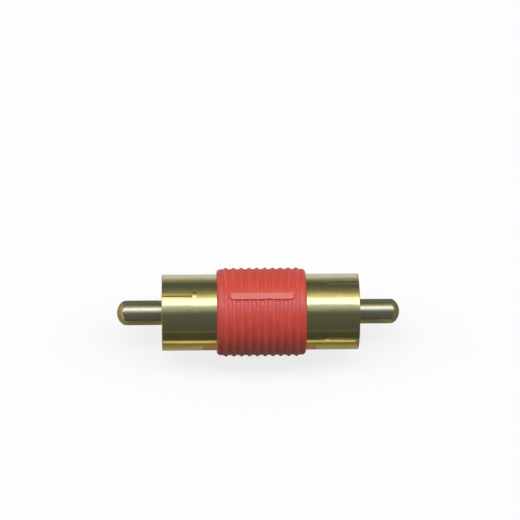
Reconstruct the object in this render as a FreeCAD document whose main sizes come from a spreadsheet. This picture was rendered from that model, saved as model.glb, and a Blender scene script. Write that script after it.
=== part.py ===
import FreeCAD, Part
import math
import os

import Sketcher

# A double-ended phono plug coupler: two slotted plug shells back to back, their
# centre pins joined inside, and a ribbed soft grip moulded over the middle.
# The axis is X, the right-hand plug points to +X, and +Z is up.
# The origin is on the axis, half-way between the two pin tips.

# Driving dimensions, in millimetres, counts and degrees
SIZES = (
    ("shell_radius", 4.9, "outside of a plug shell"),
    ("shell_wall", 0.75, "wall round the socket"),
    ("socket_depth", 8.1, "rim to the floor of the socket"),
    ("web_thickness", 1.5, "floor of the socket, which carries the insulator"),
    ("rim_bevel", 0.12, "outer edge of the rim"),
    ("mouth_bevel", 0.25, "lead-in at the mouth of the socket"),
    ("shell_spacing", 6.06, "shoulder to shoulder of the two shells"),
    ("shell_shift", 0.22, "shells stand this far to the right of the pins"),
    ("shoulder_step", 1.3, "shoulder of a shell, down to its tail in the ground tube"),
    ("spigot_length", 1.2, "length of that tail"),
    ("key_start", 0.8, "shoulder to the groove that the grip locks into"),
    ("key_width", 1.1, "width of the locking groove"),
    ("key_depth", 0.3, "depth of the locking groove"),
    ("slit_count", 4, "slits round a shell"),
    ("slit_width", 0.15, "width of a slit"),
    ("slit_length", 3.85, "rim to the closed end of a slit"),
    ("slit_corner", 0.055, "corner radius of the closed end"),
    ("dish_radius", 0.42, "round spot pressed in where a slit stops"),
    ("dish_depth", 0.035, "depth of that spot"),
    ("left_slit_turn", 5.0, "first slit of the left shell, from +Z towards +Y"),
    ("right_slit_turn", 25.0, "first slit of the right shell, from +Z towards +Y"),
    ("tube_wall", 0.5, "wall of the ground tube"),
    ("neck_wall", 0.78, "insulator where it passes through the floor"),
    ("flange_thickness", 1.2, "head of the insulator, on the socket floor"),
    ("flange_bevel", 0.3, "front edge of the insulator's head"),
    ("pin_radius", 1.6, "contact length of a centre pin"),
    ("pin_reach", 5.58, "rim to pin tip, the mean of the two ends"),
    ("nose_length", 0.93, "rounded nose of a pin"),
    ("band_step", 0.2, "thicker band that grips the insulator, above the pin"),
    ("collar_step", 0.2, "collar against the back of the insulator, above the band"),
    ("collar_thickness", 0.4, "thickness of the collar"),
    ("tail_wall", 0.45, "tail of a pin, round the hole for the link wire"),
    ("tail_gap", 0.98, "tail to tail of the two pins"),
    ("cup_depth", 1.6, "depth of the hole in the tail"),
    ("link_radius", 0.5, "wire that joins the two pins"),
    ("sleeve_wall", 0.7, "insulating sleeve that lines the ground tube"),
    ("grip_lap", 2.695, "how far the moulded grip laps over each shell"),
    ("grip_offset", 0.12, "middle of the grip to the right of the shells' middle"),
    ("grip_wall", 0.62, "grip over a shell, between its ribs"),
    ("grip_round", 0.45, "outer edge of each end of the grip"),
    ("rib_count", 10, "ribs round the grip"),
    ("rib_margin", 1.185, "end of the grip to the middle of its first rib"),
    ("rib_width", 0.62, "foot of a rib"),
    ("rib_height", 0.2, "rib above the grip"),
    ("bar_margin", 1.65, "end of the grip to the raised bar along it"),
    ("bar_width", 1.02, "width of the bar at its foot"),
    ("bar_rise", 0.15, "bar above the ribs"),
    ("bar_corner", 0.4, "corner radius of the bar's ends"),
    ("bar_draft", 12.0, "slope of the bar's sides"),
    ("bar_round", 0.15, "rounded top edge of the bar"),
    ("gate_place", 1.04, "gate mark, to the right of the shells' middle"),
    ("gate_width", 0.45, "gate mark along the bar"),
    ("gate_bite", 0.22, "gate mark into the side of the bar"),
    ("gate_depth", 0.3, "gate mark below the top of the bar"),
    ("fit_gap", 0.02, "gap of a pressed or moulded fit"),
    ("wire_gap", 0.05, "solder film round the link wire"),
    ("weld_depth", 0.08, "how far a raised form runs into what it stands on"),
)

LEFT = -1
RIGHT = 1
TOUCH = 1e-6
LEVEL = 1e-4
FULL_TURN = 360.0
HALF_TURN = 180.0
QUARTER_TURN = 90.0
DRILL_SLOPE = math.tan(math.radians(31.0))

doc = FreeCAD.newDocument("phono_coupler")


# Sheet of driving dimensions

def make_sheet():
    sheet = doc.addObject("Spreadsheet::Sheet", "Sizes")
    for row, (alias, value, note) in enumerate(SIZES, start=1):
        sheet.set(f"A{row}", alias)
        sheet.set(f"B{row}", str(value))
        sheet.set(f"C{row}", note)
        sheet.setAlias(f"B{row}", alias)
    doc.recompute()
    return sheet


class Length:
    """A size or a place: its value now, and the formula that ties it to the sheet."""

    def __init__(self, value, formula):
        self.value = value
        self.formula = formula

    def __add__(self, other):
        other = as_length(other)
        return Length(self.value + other.value, f"({self.formula} + {other.formula})")

    def __sub__(self, other):
        other = as_length(other)
        return Length(self.value - other.value, f"({self.formula} - {other.formula})")

    def __mul__(self, other):
        other = as_length(other)
        return Length(self.value * other.value, f"({self.formula} * {other.formula})")

    def __truediv__(self, other):
        other = as_length(other)
        return Length(self.value / other.value, f"({self.formula} / {other.formula})")

    def __neg__(self):
        return Length(-self.value, f"(0 - {self.formula})")


def as_length(item):
    return item if isinstance(item, Length) else Length(float(item), repr(item))


sizes = make_sheet()
size = {alias: Length(float(sizes.get(alias)), f"Sizes.{alias}") for alias, _, _ in SIZES}


# Helpers for sketches and features

def new_body(label):
    body = doc.addObject("PartDesign::Body", label)
    body.Label = label
    return body


def origin_item(body, role):
    return next(item for item in body.Origin.OriginFeatures if item.Role == role)


def new_sketch(body, name, role):
    sketch = body.newObject("Sketcher::SketchObject", name)
    sketch.AttachmentSupport = [(origin_item(body, role), "")]
    sketch.MapMode = "FlatFace"
    return sketch


def flat(place):
    return FreeCAD.Vector(place[0].value, place[1].value, 0)


def step_towards(start, end, distance):
    """The place at a distance from start, on a side that runs straight along or across."""
    along = end[0].value - start[0].value
    across = end[1].value - start[1].value
    if abs(along) > abs(across):
        return (start[0] + distance if along > 0 else start[0] - distance, start[1])
    return (start[0], start[1] + distance if across > 0 else start[1] - distance)


def round_corners(corners):
    """Turn corners (x, y, radius or None) into nodes (x, y, radius of the arc to the next)."""
    nodes = []
    for index, (x, y, radius) in enumerate(corners):
        if radius is None:
            nodes.append((x, y, None))
            continue
        before = corners[index - 1]
        after = corners[(index + 1) % len(corners)]
        enter = step_towards((x, y), before, radius)
        leave = step_towards((x, y), after, radius)
        nodes.append((enter[0], enter[1], radius))
        nodes.append((leave[0], leave[1], None))
    return nodes


def arc_middle(start, end, radius):
    """The middle of the short arc from start to end, on the left of the way there."""
    chord = end - start
    half = chord.Length / 2
    left = FreeCAD.Vector(-chord.y, chord.x, 0).normalize()
    rise = radius - math.sqrt(max(radius ** 2 - half ** 2, 0.0))
    return start + chord * 0.5 + left * rise


def draw_outline(sketch, nodes):
    """Draw a closed outline, clockwise, with each node tied to the sheet."""
    count = len(nodes)
    for index, (x, y, radius) in enumerate(nodes):
        start = flat((x, y))
        end = flat(nodes[(index + 1) % count])
        if radius is None:
            sketch.addGeometry(Part.LineSegment(start, end), False)
            continue
        middle = arc_middle(start, end, radius.value)
        sketch.addGeometry(Part.Arc(end, middle, start), False)
    for index, (x, y, radius) in enumerate(nodes):
        begins = vertex_at(sketch, index, flat((x, y)))
        previous = (index - 1) % count
        ends = vertex_at(sketch, previous, flat((x, y)))
        sketch.addConstraint(Sketcher.Constraint("Coincident", previous, ends, index, begins))
        tie(sketch, "DistanceX", index, begins, x)
        tie(sketch, "DistanceY", index, begins, y)
        if radius is not None:
            number = sketch.addConstraint(Sketcher.Constraint("Radius", index, radius.value))
            sketch.setExpression(f"Constraints[{number}]", radius.formula)


def vertex_at(sketch, index, place):
    """1 if that piece of the outline starts at the place, and 2 if it ends there."""
    starts = sketch.Geometry[index].StartPoint.distanceToPoint(place) < TOUCH
    return 1 if starts else 2


def tie(sketch, kind, index, vertex, place):
    if place.formula == ON_AXIS.formula:
        sketch.addConstraint(Sketcher.Constraint("PointOnObject", index, vertex, -1))
        return
    number = sketch.addConstraint(Sketcher.Constraint(kind, index, vertex, place.value))
    sketch.setExpression(f"Constraints[{number}]", place.formula)


def revolve(body, name, nodes):
    """Turn an outline of (x, radius) round the axis."""
    sketch = new_sketch(body, name + "Section", "XY_Plane")
    draw_outline(sketch, nodes)
    feature = body.newObject("PartDesign::Revolution", name)
    feature.Profile = sketch
    feature.ReferenceAxis = (sketch, ["H_Axis"])
    feature.Angle = FULL_TURN
    sketch.Visibility = False
    doc.recompute()
    return feature


def plain(nodes):
    return [(x, y, None) for x, y in nodes]


def seat(item, side, distance, turn=0.0):
    """Place a piece so that its own +X points outwards on that side."""
    outwards = FreeCAD.Rotation(FreeCAD.Vector(0, 0, 1), 0.0 if side == RIGHT else HALF_TURN)
    leaning = FreeCAD.Rotation(FreeCAD.Vector(1, 0, 0), -turn)
    item.Placement = FreeCAD.Placement(FreeCAD.Vector(0, 0, 0), leaning * outwards)
    item.setExpression("Placement.Base.x", distance.formula)
    doc.recompute()


def must_cut(before, feature):
    if feature.Shape.Volume > before.Shape.Volume - TOUCH:
        raise RuntimeError(f"{feature.Label} cuts nothing")


def must_cut_alike(uncut, first, pattern, count):
    """Each copy in a pattern takes away as much as the first cut did."""
    one = uncut.Shape.Volume - first.Shape.Volume
    every = uncut.Shape.Volume - pattern.Shape.Volume
    if abs(every - one * count) > one / 2:
        raise RuntimeError(f"{pattern.Label} misses some of its cuts")


ON_AXIS = Length(0.0, "axis")

# Places that several pieces share, measured from a shell's shoulder towards its rim
shell_length = size["web_thickness"] + size["socket_depth"]
bore_radius = size["shell_radius"] - size["shell_wall"]
band_radius = size["pin_radius"] + size["band_step"]
collar_radius = band_radius + size["collar_step"]
neck_radius = band_radius + size["fit_gap"] + size["neck_wall"]
neck_bore = neck_radius + size["fit_gap"]
spigot_radius = size["shell_radius"] - size["shoulder_step"]
tube_bore = spigot_radius + size["fit_gap"]
tube_radius = tube_bore + size["tube_wall"]
half_spacing = size["shell_spacing"] / 2
flange_face = size["web_thickness"] + size["flange_thickness"]
slit_end = shell_length - size["slit_length"]

# The pins and their link are one unit, moved until the left collar meets its insulator
pin_tip = shell_length + size["pin_reach"]
band_end = flange_face + size["shell_shift"] + size["fit_gap"]
collar_front = -size["spigot_length"] - size["shell_shift"] - size["fit_gap"]
collar_back = collar_front - size["collar_thickness"]
tail_end = size["tail_gap"] / 2 - half_spacing
cup_radius = size["link_radius"] + size["wire_gap"]

# The grip, measured from the middle of the two shells
grip_half = half_spacing + size["grip_lap"]
grip_radius = size["shell_radius"] + size["fit_gap"] + size["grip_wall"]
bar_top = grip_radius + size["rib_height"] + size["bar_rise"]
first_rib = size["grip_offset"] - grip_half + size["rib_margin"]
last_rib = size["grip_offset"] + grip_half - size["rib_margin"]


# Plug shells

def make_shell(label, side, turn):
    """A turned cup: slotted socket wall, floor, locking groove and tail."""
    body = new_body(label)
    key_end = size["key_start"] + size["key_width"]
    key_floor = size["shell_radius"] - size["key_depth"]
    section = plain([
        (-size["spigot_length"], neck_bore),
        (-size["spigot_length"], spigot_radius),
        (as_length(0), spigot_radius),
        (as_length(0), size["shell_radius"]),
        (size["key_start"], size["shell_radius"]),
        (size["key_start"], key_floor),
        (key_end, key_floor),
        (key_end, size["shell_radius"]),
        (shell_length - size["rim_bevel"], size["shell_radius"]),
        (shell_length, size["shell_radius"] - size["rim_bevel"]),
        (shell_length, bore_radius + size["mouth_bevel"]),
        (shell_length - size["mouth_bevel"], bore_radius),
        (size["web_thickness"], bore_radius),
        (size["web_thickness"], neck_bore),
    ])
    cup = revolve(body, label + "_cup", section)

    slit = make_slit(body, label)
    must_cut(cup, slit)
    dish = make_dish(body, label)
    must_cut(slit, dish)

    slits = body.newObject("PartDesign::PolarPattern", label + "_slits")
    slits.Originals = [slit, dish]
    slits.Axis = (origin_item(body, "X_Axis"), [""])
    slits.Angle = FULL_TURN
    slits.setExpression("Occurrences", size["slit_count"].formula)
    body.Tip = slits
    doc.recompute()
    must_cut_alike(cup, dish, slits, size["slit_count"].value)
    seat(body, side, size["shell_shift"] + half_spacing * side, turn.value)
    return body


def make_slit(body, label):
    """One saw cut through the wall, from the rim inwards."""
    half_width = size["slit_width"] / 2
    past_rim = shell_length + size["slit_width"]
    past_wall = size["shell_radius"] + size["slit_width"]
    inside = bore_radius / 2
    corner = size["slit_corner"]
    sketch = new_sketch(body, label + "_slit_outline", "XY_Plane")
    sketch.setExpression("AttachmentOffset.Base.z", inside.formula)
    draw_outline(sketch, round_corners([
        (slit_end, -half_width, corner),
        (slit_end, half_width, corner),
        (past_rim, half_width, None),
        (past_rim, -half_width, None),
    ]))
    slit = body.newObject("PartDesign::Pocket", label + "_slit")
    slit.Profile = sketch
    slit.Reversed = True
    slit.setExpression("Length", (past_wall - inside).formula)
    doc.recompute()
    return slit


def make_dish(body, label):
    """The shallow round spot that the closed end of a slit runs into."""
    radius = size["dish_radius"]
    depth = size["dish_depth"]
    ball = (radius * radius + depth * depth) / (depth * 2)
    dish = body.newObject("PartDesign::SubtractiveSphere", label + "_dish")
    dish.AttachmentSupport = [(origin_item(body, "XY_Plane"), "")]
    dish.MapMode = "FlatFace"
    dish.setExpression("Radius", ball.formula)
    middle = slit_end - radius + size["slit_width"] / 2
    dish.setExpression("AttachmentOffset.Base.x", middle.formula)
    dish.setExpression("AttachmentOffset.Base.z", (size["shell_radius"] - depth + ball).formula)
    doc.recompute()
    return dish


# Insulators

def make_insulator(label, side):
    """A moulded bush: its head lies on the socket floor, its neck goes through it."""
    body = new_body(label)
    head_radius = bore_radius - size["fit_gap"]
    floor = size["web_thickness"] + size["fit_gap"]
    pin_bore = band_radius + size["fit_gap"]
    revolve(body, label + "_bush", plain([
        (-size["spigot_length"], pin_bore),
        (-size["spigot_length"], neck_radius),
        (floor, neck_radius),
        (floor, head_radius),
        (flange_face - size["flange_bevel"], head_radius),
        (flange_face, head_radius - size["flange_bevel"]),
        (flange_face, pin_bore),
    ]))
    seat(body, side, size["shell_shift"] + half_spacing * side)
    return body


# Centre pins and the wire that joins them

def make_pin(label, side):
    """A turned pin: rounded nose, gripping band, stop collar and drilled tail."""
    body = new_body(label)
    nose = size["nose_length"]
    nose_round = (size["pin_radius"] * size["pin_radius"] + nose * nose) / (nose * 2)
    tail_radius = cup_radius + size["tail_wall"]
    cup_floor = tail_end + size["cup_depth"]
    revolve(body, label + "_turning", [
        (tail_end, cup_radius, None),
        (tail_end, tail_radius, None),
        (collar_back, tail_radius, None),
        (collar_back, collar_radius, None),
        (collar_front, collar_radius, None),
        (collar_front, band_radius, None),
        (band_end, band_radius, None),
        (band_end, size["pin_radius"], None),
        (pin_tip - nose, size["pin_radius"], nose_round),
        (pin_tip, ON_AXIS, None),
        (cup_floor + cup_radius * DRILL_SLOPE, ON_AXIS, None),
        (cup_floor, cup_radius, None),
    ])
    seat(body, side, half_spacing * side)
    return body


def make_pin_link():
    """A straight wire, soldered into both tails."""
    reach = half_spacing + tail_end + size["cup_depth"] - size["wire_gap"]
    wire = doc.addObject("Part::Cylinder", "pin_link")
    wire.Label = "pin_link"
    wire.setExpression("Radius", size["link_radius"].formula)
    wire.setExpression("Height", (reach * 2).formula)
    along_x = FreeCAD.Rotation(FreeCAD.Vector(0, 1, 0), QUARTER_TURN)
    wire.Placement = FreeCAD.Placement(FreeCAD.Vector(0, 0, 0), along_x)
    wire.setExpression("Placement.Base.x", (-reach).formula)
    doc.recompute()
    return wire


# Sleeve and tube between the two plugs

def make_ring(label, half_length, bore, radius):
    """A plain sleeve, half_length to either side of the shells' middle."""
    body = new_body(label)
    revolve(body, label + "_turning", plain([
        (-half_length, bore),
        (-half_length, radius),
        (half_length, radius),
        (half_length, bore),
    ]))
    seat(body, RIGHT, size["shell_shift"])
    return body


def make_link_sleeve():
    half_length = half_spacing - size["spigot_length"] - size["fit_gap"]
    radius = tube_bore - size["fit_gap"]
    return make_ring("link_sleeve", half_length, radius - size["sleeve_wall"], radius)


def make_ground_tube():
    return make_ring("ground_tube", half_spacing - size["fit_gap"], tube_bore, tube_radius)


# Moulded grip

def make_grip():
    """Soft moulding over the shells and the tube, with ribs round it and a bar along it."""
    body = new_body("grip")
    revolve(body, "grip_moulding", grip_section())

    bar = make_bar(body)
    rounding = round_bar(body, bar)
    must_cut(bar, rounding)
    gate_mark = make_gate_mark(body)
    must_cut(rounding, gate_mark)

    rib = make_rib(body)
    ribs = body.newObject("PartDesign::LinearPattern", "grip_ribs")
    ribs.Originals = [rib]
    ribs.Direction = (origin_item(body, "X_Axis"), [""])
    ribs.setExpression("Length", (last_rib - first_rib).formula)
    ribs.setExpression("Occurrences", size["rib_count"].formula)
    body.Tip = ribs
    doc.recompute()
    if ribs.Shape.Volume < rib.Shape.Volume + TOUCH:
        raise RuntimeError("the ribs add nothing")
    seat(body, RIGHT, size["shell_shift"])
    return body


def grip_section():
    """The grip's wall: ends over the shells, keys in their grooves, middle on the tube."""
    left_face = size["grip_offset"] - grip_half
    right_face = size["grip_offset"] + grip_half
    gap = size["fit_gap"]
    shell_bore = size["shell_radius"] + gap
    middle_bore = tube_radius + gap
    key_bore = shell_bore - size["key_depth"]
    shoulder = half_spacing - gap
    key_near = half_spacing + size["key_start"] + gap
    key_far = half_spacing + size["key_start"] + size["key_width"] - gap
    return round_corners([
        (left_face, shell_bore, None),
        (left_face, grip_radius, size["grip_round"]),
        (right_face, grip_radius, size["grip_round"]),
        (right_face, shell_bore, None),
        (key_far, shell_bore, None),
        (key_far, key_bore, None),
        (key_near, key_bore, None),
        (key_near, shell_bore, None),
        (shoulder, shell_bore, None),
        (shoulder, middle_bore, None),
        (-shoulder, middle_bore, None),
        (-shoulder, shell_bore, None),
        (-key_near, shell_bore, None),
        (-key_near, key_bore, None),
        (-key_far, key_bore, None),
        (-key_far, shell_bore, None),
    ])


def make_rib(body):
    """The rib nearest the left end: a ring with a rounded top."""
    half_width = size["rib_width"] / 2
    height = size["rib_height"]
    top_round = (half_width * half_width + height * height) / (height * 2)
    foot = grip_radius - size["weld_depth"]
    return revolve(body, "grip_rib", [
        (first_rib - half_width, foot, None),
        (first_rib - half_width, grip_radius, top_round),
        (first_rib + half_width, grip_radius, None),
        (first_rib + half_width, foot, None),
    ])


def make_bar(body):
    """The raised bar along the top, a little prouder than the ribs."""
    left_end = size["grip_offset"] - grip_half + size["bar_margin"]
    right_end = size["grip_offset"] + grip_half - size["bar_margin"]
    half_width = size["bar_width"] / 2
    corner = size["bar_corner"]
    sketch = new_sketch(body, "grip_bar_outline", "XY_Plane")
    sketch.setExpression("AttachmentOffset.Base.z", (grip_radius - size["weld_depth"]).formula)
    draw_outline(sketch, round_corners([
        (left_end, -half_width, corner),
        (left_end, half_width, corner),
        (right_end, half_width, corner),
        (right_end, -half_width, corner),
    ]))
    bar = body.newObject("PartDesign::Pad", "grip_bar")
    bar.Profile = sketch
    bar.setExpression("Length", (bar_top - grip_radius + size["weld_depth"]).formula)
    bar.setExpression("TaperAngle", (-size["bar_draft"]).formula)
    doc.recompute()
    return bar


def round_bar(body, bar):
    """Round the edge all round the top of the bar."""
    rim = [
        f"Edge{number}"
        for number, edge in enumerate(bar.Shape.Edges, start=1)
        if all(abs(corner.Z - bar_top.value) < LEVEL for corner in edge.Vertexes)
    ]
    rounding = body.newObject("PartDesign::Fillet", "grip_bar_rounding")
    rounding.Base = (bar, rim)
    rounding.setExpression("Radius", size["bar_round"].formula)
    doc.recompute()
    return rounding


def make_gate_mark(body):
    """The nick that the moulding gate left in the front side of the bar."""
    side = -size["bar_width"] / 2
    near = side - size["gate_bite"]
    far = side + size["gate_bite"]
    left_end = size["gate_place"] - size["gate_width"] / 2
    right_end = size["gate_place"] + size["gate_width"] / 2
    sketch = new_sketch(body, "grip_gate_outline", "XY_Plane")
    sketch.setExpression("AttachmentOffset.Base.z", (bar_top - size["gate_depth"]).formula)
    draw_outline(sketch, plain([
        (left_end, near),
        (left_end, far),
        (right_end, far),
        (right_end, near),
    ]))
    mark = body.newObject("PartDesign::Pocket", "grip_gate_mark")
    mark.Profile = sketch
    mark.Reversed = True
    mark.setExpression("Length", (size["gate_depth"] * 2).formula)
    doc.recompute()
    return mark


# Assembly and files

def check_document():
    for item in doc.Objects:
        if {"Invalid", "Error"} & set(item.State):
            raise RuntimeError(f"{item.Label} failed: {item.State}")


def write_piece(piece):
    shape = piece.Shape
    if shape.isNull() or not shape.isValid():
        raise RuntimeError(f"{piece.Label} has no valid shape")
    shape.exportStep(f"parts/{piece.Label}.step")
    print(f"{piece.Label}: {shape.Volume:.3f} mm3, {len(shape.Solids)} solid")


pieces = [
    make_shell("left_shell", LEFT, size["left_slit_turn"]),
    make_shell("right_shell", RIGHT, size["right_slit_turn"]),
    make_insulator("left_insulator", LEFT),
    make_insulator("right_insulator", RIGHT),
    make_pin("left_pin", LEFT),
    make_pin("right_pin", RIGHT),
    make_pin_link(),
    make_link_sleeve(),
    make_ground_tube(),
    make_grip(),
]
doc.recompute()
check_document()
os.makedirs("parts", exist_ok=True)
for piece in pieces:
    write_piece(piece)
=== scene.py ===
"""Looks of a double-ended phono plug coupler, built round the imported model.

Two gold-plated plug shells stand back to back, a centre pin in each, and a ribbed
soft grip is moulded over the middle. The axis is X, the raised bar on the grip is
at +Z, and the side of the grip that faces the camera is -Y. Lengths are millimetres,
unless a name or a comment says otherwise, and only the finished meshes are in metres.
"""

import logging
import math
from dataclasses import dataclass, field
from enum import Enum
from typing import NamedTuple, Sequence

import bmesh
import bpy
import numpy as np
from mathutils import Matrix, Vector


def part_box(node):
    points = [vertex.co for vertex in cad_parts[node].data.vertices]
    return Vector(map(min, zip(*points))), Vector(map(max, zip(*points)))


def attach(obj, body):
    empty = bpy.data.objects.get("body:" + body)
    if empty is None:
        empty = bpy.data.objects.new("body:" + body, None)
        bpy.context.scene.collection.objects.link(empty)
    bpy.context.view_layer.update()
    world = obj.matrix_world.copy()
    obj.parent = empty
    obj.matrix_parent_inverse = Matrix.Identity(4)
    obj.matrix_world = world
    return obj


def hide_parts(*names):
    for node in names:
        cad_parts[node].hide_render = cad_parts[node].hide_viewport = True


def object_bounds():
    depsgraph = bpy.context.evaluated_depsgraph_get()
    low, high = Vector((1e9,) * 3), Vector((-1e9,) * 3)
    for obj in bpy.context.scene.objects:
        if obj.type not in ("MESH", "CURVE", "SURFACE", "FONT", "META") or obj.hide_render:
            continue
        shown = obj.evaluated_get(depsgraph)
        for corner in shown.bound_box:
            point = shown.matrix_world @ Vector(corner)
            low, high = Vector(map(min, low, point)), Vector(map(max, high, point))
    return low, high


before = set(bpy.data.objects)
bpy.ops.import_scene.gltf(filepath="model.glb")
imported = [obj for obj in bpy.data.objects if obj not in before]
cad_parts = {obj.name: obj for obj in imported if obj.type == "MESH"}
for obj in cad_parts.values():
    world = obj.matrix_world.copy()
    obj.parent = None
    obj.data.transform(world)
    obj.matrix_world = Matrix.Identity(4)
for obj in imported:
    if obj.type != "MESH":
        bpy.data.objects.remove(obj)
CAD_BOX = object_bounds()

LOG = logging.getLogger("coupler")

# A millimetre in metres
MM = 0.001
FULL_TURN = 2.0 * math.pi
# Places closer than this count as one, and points closer than this are welded
TOUCH = 1e-6
WELD = 1e-4
# A corner whose half angle is above this is as good as straight
STRAIGHT = math.radians(89.0)
# Length of the shells' tails, which the ground tube goes over
SPIGOT_LENGTH = 1.2
# Texture coordinates of a sheet's corners, and how far a card reaches unless told otherwise
SHEET_SIDES = ((0, 0), (1, 0), (1, 1), (0, 1))
CARD_REACH = 150.0

Colour = tuple[float, float, float]
Place = tuple[float, float, float]
Corners = Sequence[Place]
Stops = tuple[tuple[float, Colour], ...]
Socket = bpy.types.NodeSocket
Grid = np.ndarray


# Frame

def node_span(node: str) -> tuple[float, float]:
    """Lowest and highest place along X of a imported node."""
    low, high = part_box(node)
    return low.x / MM, high.x / MM


def node_radius(node: str) -> float:
    """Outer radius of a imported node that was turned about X."""
    low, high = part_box(node)
    return (high.y - low.y) / 2 / MM


class Side(Enum):
    """The plug that a piece belongs to; the value points along X, out of the grip."""

    LEFT = -1
    RIGHT = 1

    def node(self, piece: str) -> str:
        """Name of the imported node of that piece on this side."""
        return f"{self.name.lower()}_{piece}"

    def ends(self, piece: str) -> tuple[float, float]:
        """Outer and inner end along X of that piece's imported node."""
        low, high = node_span(self.node(piece))
        return (high, low) if self is Side.RIGHT else (low, high)

    def shoulder(self) -> float:
        """Place along X where the shell's wall starts, outside its spigot."""
        return self.ends("shell")[1] + self.value * SPIGOT_LENGTH


# Blends of heights

def soft_max(first: Grid, second: Grid, reach: float) -> Grid:
    """The greater of two heights, rounded over that reach where they meet."""
    near = np.clip(1 - np.abs(first - second) / reach, 0, None)
    return np.maximum(first, second) + reach * near ** 2 / 4


def soft_min(first: Grid, second: Grid, reach: float) -> Grid:
    """The lesser of two heights, rounded over that reach where they meet."""
    return -soft_max(-first, -second, reach)


def mound(across: Grid, along: Grid, radius: float) -> Grid:
    """A round mound: 1 at its middle, and about a third at that radius."""
    return np.exp(-(across ** 2 + along ** 2) / radius ** 2)


# Turned profiles

@dataclass(frozen=True)
class Corner:
    """A corner of a turned profile.

    Attributes:
        x: place along the axis.
        r: distance from the axis.
        ease: radius that the corner is rounded to.
    """

    x: float
    r: float
    ease: float = 0.02

    def point(self) -> np.ndarray:
        """The corner as a pair of numbers."""
        return np.array([self.x, self.r])


def rounded_corner(
    before: np.ndarray, corner: Corner, after: np.ndarray, steps: int
) -> list[np.ndarray]:
    """Replace a corner by an arc, with a point just outside each end to hold the flats.

    Args:
        before: the place that the profile comes from.
        corner: the corner.
        after: the place that the profile goes on to.
        steps: pieces that the arc is drawn with.

    Returns:
        The points of the rounded corner, in order.
    """
    place = corner.point()
    come = (before - place) / np.linalg.norm(before - place)
    leave = (after - place) / np.linalg.norm(after - place)
    half = math.acos(float(np.clip(come @ leave, -1, 1))) / 2
    if corner.ease <= 0 or half > STRAIGHT:
        return [place]
    setback = corner.ease / math.tan(half)
    centre = place + (come + leave) / np.linalg.norm(come + leave) * corner.ease / math.sin(half)
    start = place + come * setback - centre
    sweep = math.pi - 2 * half
    turn_way = math.copysign(1, float(come[0] * leave[1] - come[1] * leave[0]))
    points = [place + come * (setback + corner.ease / 2)]
    for step in range(steps + 1):
        angle = -turn_way * sweep * step / steps
        cosine, sine = math.cos(angle), math.sin(angle)
        turned = np.array([start[0] * cosine - start[1] * sine, start[0] * sine + start[1] * cosine])
        points.append(centre + turned)
    points.append(place + leave * (setback + corner.ease / 2))
    return points


def eased_profile(corners: Sequence[Corner], steps: int = 4, closed: bool = True) -> list[np.ndarray]:
    """Round every corner of a profile.

    Args:
        corners: the corners, in order.
        steps: pieces that each arc is drawn with.
        closed: whether the last corner joins the first.

    Returns:
        The points of the eased profile, in order.
    """
    points: list[np.ndarray] = []
    last = len(corners) - 1
    for index, corner in enumerate(corners):
        if not closed and index in (0, last):
            points.append(corner.point())
            continue
        before = corners[index - 1].point()
        after = corners[(index + 1) % len(corners)].point()
        points.extend(rounded_corner(before, corner, after, steps))
    return points


def nose_corners(
    tip_x: float, way: int, radius: float, length: float, shoulder: float, steps: tuple[int, int] = (8, 20)
) -> list[Corner]:
    """A rounded nose: an arc off the shank that runs over into a ball's arc.

    Args:
        tip_x: where it ends on the axis.
        way: 1 where it points to +X, -1 where it points to -X.
        radius: radius of the shank.
        length: length of the ball's arc if it met the shank at a corner.
        shoulder: radius of the arc between the shank and the ball.
        steps: pieces that this arc and the ball's are drawn with.

    Returns:
        Corners without a rounding of their own, the tip last.
    """
    ball = (radius ** 2 + length ** 2) / (2 * length)
    run = math.sqrt((ball - shoulder) ** 2 - (radius - shoulder) ** 2)
    bend = math.atan2(radius - shoulder, run)
    centre = tip_x - way * ball
    corners = []
    for angle in np.linspace(math.pi / 2, bend, steps[0] + 1):
        x = centre + way * (run + shoulder * math.cos(angle))
        corners.append(Corner(x, radius - shoulder + shoulder * math.sin(angle), 0.0))
    for angle in np.linspace(bend, 0.0, steps[1] + 1)[1:]:
        corners.append(Corner(centre + way * ball * math.cos(angle), ball * math.sin(angle), 0.0))
    return corners


# Meshes

def mesh_piece(
    name: str, points: np.ndarray, faces: Sequence[Sequence[int]], sharp_deg: float = 40.0
) -> bpy.types.Object:
    """Make an object from points in millimetres.

    Args:
        name: name of the piece.
        points: one row of three numbers for each point.
        faces: point numbers of each face.
        sharp_deg: edges that turn by more than this stay sharp.

    Returns:
        The new object, smooth shaded and linked to the scene.
    """
    mesh = bpy.data.meshes.new(name)
    mesh.from_pydata((points * MM).tolist(), [], [list(face) for face in faces])
    tidy = bmesh.new()
    tidy.from_mesh(mesh)
    bmesh.ops.remove_doubles(tidy, verts=tidy.verts, dist=MM * WELD)
    bmesh.ops.recalc_face_normals(tidy, faces=tidy.faces)
    tidy.to_mesh(mesh)
    tidy.free()
    mesh.shade_smooth()
    mesh.set_sharp_from_angle(angle=math.radians(sharp_deg))
    piece = bpy.data.objects.new(name, mesh)
    bpy.context.scene.collection.objects.link(piece)
    return piece


def round_the_axis(x: Grid, radius: Grid, angle: Grid) -> np.ndarray:
    """Points round the X axis, for angles in radians from +Z towards +Y."""
    return np.stack([x + 0 * angle, radius * np.sin(angle), radius * np.cos(angle)], axis=-1)


def band_faces(rows: int, count: int, first: int = 0, closed: bool = False) -> list[list[int]]:
    """Four-sided faces between rows of points that run round the axis.

    Args:
        rows: number of rows.
        count: points in each row.
        first: number of the first point.
        closed: whether the last row joins the first.

    Returns:
        The faces, as point numbers, row by row.
    """
    faces = []
    for row in range(rows if closed else rows - 1):
        near = first + row * count
        far = first + (row + 1) % rows * count
        for column in range(count):
            beside = (column + 1) % count
            faces.append([near + column, near + beside, far + beside, far + column])
    return faces


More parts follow.
